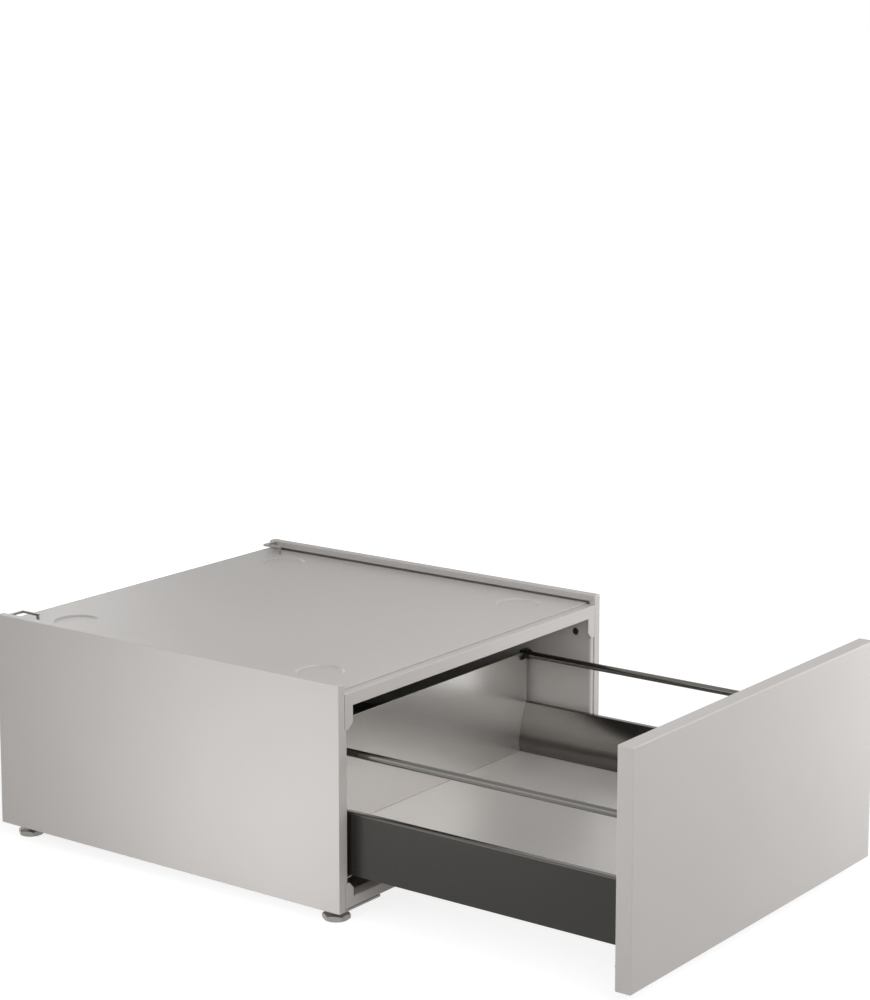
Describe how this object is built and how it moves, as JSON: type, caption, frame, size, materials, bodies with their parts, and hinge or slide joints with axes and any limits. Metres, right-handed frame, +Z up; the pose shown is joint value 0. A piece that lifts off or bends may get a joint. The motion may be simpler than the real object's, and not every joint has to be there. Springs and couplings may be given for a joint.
{
  "type": "washer pedestal drawer",
  "caption": "Low sheet-metal pedestal with a pull-out drawer under a laundry machine, gallery rods over the drawer sides and levelling feet.",
  "frame": {"origin": "floor level, midway across the width and midway between the open drawer's face and the cabinet's back", "axes": "+X to the user's right, +Y from the drawer front to the back, +Z up"},
  "size_m": [0.595, 1.0372, 0.3157],
  "materials": {
    "grey_paint": "satin silver-grey paint",
    "graphite_paint": "satin graphite, with soft reflections",
    "satin_steel": "satin, with soft reflections",
    "dark_chrome": "dark polished chrome",
    "zinc_steel": "zinc-plated",
    "black_plastic": "black moulded plastic",
    "black_rubber": "black rubber"
  },
  "bodies": {
    "cabinet": {"side_panel_left": "grey_paint", "side_panel_right": "grey_paint", "inner_wall_left": "grey_paint", "inner_wall_right": "grey_paint", "front_top_rail": "grey_paint", "front_bottom_rail": "grey_paint", "rear_top_rail": "zinc_steel", "rear_bottom_rail": "zinc_steel", "top_plate": "grey_paint", "bottom_plate": "zinc_steel", "rear_panel": "zinc_steel", "bottom_ear_left": "grey_paint", "bottom_ear_right": "grey_paint", "ear_plug_left": "black_plastic", "ear_plug_right": "black_plastic", "rear_foot_strap_left": "zinc_steel", "rear_foot_strap_right": "zinc_steel", "runner_fixed_left": "zinc_steel", "runner_fixed_right": "zinc_steel", "foot_plate_front_left": "zinc_steel", "foot_plate_front_right": "zinc_steel", "foot_lock_nut_front_left": "zinc_steel", "foot_lock_nut_front_right": "zinc_steel", "foot_plate_rear_left": "zinc_steel", "foot_plate_rear_right": "zinc_steel", "foot_lock_nut_rear_left": "zinc_steel", "foot_lock_nut_rear_right": "zinc_steel"},
    "drawer": {"drawer_front_shell": "grey_paint", "drawer_front_liner": "grey_paint", "drawer_side_left": "graphite_paint", "drawer_side_right": "graphite_paint", "drawer_floor": "satin_steel", "drawer_back": "satin_steel", "runner_drawer_left": "zinc_steel", "runner_drawer_right": "zinc_steel", "front_fixing_bracket_left": "zinc_steel", "front_fixing_bracket_right": "zinc_steel", "gallery_rod_left": "dark_chrome", "gallery_rod_right": "dark_chrome", "rod_socket_left": "black_plastic", "rod_socket_right": "black_plastic", "rod_clip_left": "black_plastic", "rod_clip_right": "black_plastic", "closing_bumper_upper_left": "black_rubber", "closing_bumper_upper_right": "black_rubber", "closing_bumper_lower_left": "black_rubber", "closing_bumper_lower_right": "black_rubber"},
    "middle_member_left": {"runner_middle_left": "zinc_steel"},
    "middle_member_right": {"runner_middle_right": "zinc_steel"},
    "foot_front_left": {"foot_pad_front_left": "zinc_steel", "foot_stud_front_left": "zinc_steel"},
    "foot_front_right": {"foot_pad_front_right": "zinc_steel", "foot_stud_front_right": "zinc_steel"},
    "foot_rear_left": {"foot_pad_rear_left": "zinc_steel", "foot_stud_rear_left": "zinc_steel"},
    "foot_rear_right": {"foot_pad_rear_right": "zinc_steel", "foot_stud_rear_right": "zinc_steel"}
  },
  "joints": [
    {"name": "drawer_slide", "type": "slide", "parent": "cabinet", "child": "drawer", "axis": [0, -1, 0], "range_m": [-0.409, 0.091]},
    {"name": "middle_member_left_slide", "type": "slide", "parent": "cabinet", "child": "middle_member_left", "axis": [0, -1, 0], "range_m": [-0.2046, 0.0456]},
    {"name": "middle_member_right_slide", "type": "slide", "parent": "cabinet", "child": "middle_member_right", "axis": [0, -1, 0], "range_m": [-0.2046, 0.0456]},
    {"name": "foot_front_left_screw", "type": "slide", "parent": "cabinet", "child": "foot_front_left", "axis": [0, 0, -1], "range_m": [0, 0.015]},
    {"name": "foot_front_right_screw", "type": "slide", "parent": "cabinet", "child": "foot_front_right", "axis": [0, 0, -1], "range_m": [0, 0.015]},
    {"name": "foot_rear_left_screw", "type": "slide", "parent": "cabinet", "child": "foot_rear_left", "axis": [0, 0, -1], "range_m": [0, 0.015]},
    {"name": "foot_rear_right_screw", "type": "slide", "parent": "cabinet", "child": "foot_rear_right", "axis": [0, 0, -1], "range_m": [0, 0.015]}
  ],
  "couplings": [
    {"joint": "middle_member_left_slide", "follows": "drawer_slide", "ratio": 0.5},
    {"joint": "middle_member_right_slide", "follows": "drawer_slide", "ratio": 0.5}
  ]
}
